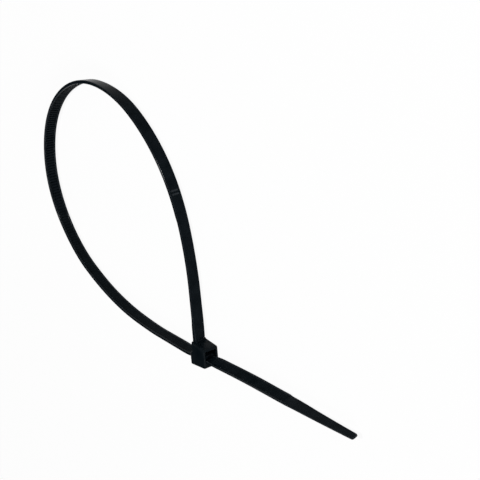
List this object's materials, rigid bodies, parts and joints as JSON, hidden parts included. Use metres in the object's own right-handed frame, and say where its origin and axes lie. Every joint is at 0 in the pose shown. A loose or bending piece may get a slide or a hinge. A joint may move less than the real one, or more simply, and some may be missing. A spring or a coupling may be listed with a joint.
{
  "type": "cable tie",
  "caption": "One-piece black nylon cable tie closed into a loop, with a toothed strap, a ratchet head and a plain tapered tail.",
  "frame": {"origin": "on the head's lower side face, level with the middle of the slot", "axes": "+X along the tail, +Y up the neck from the head, +Z across the strap, away from the surface it lies on"},
  "size_m": [0.1951, 0.1036, 0.0071],
  "materials": {
    "black_nylon": "semi-gloss moulded nylon"
  },
  "bodies": {
    "root": {"cable_tie": "black_nylon"}
  },
  "joints": []
}
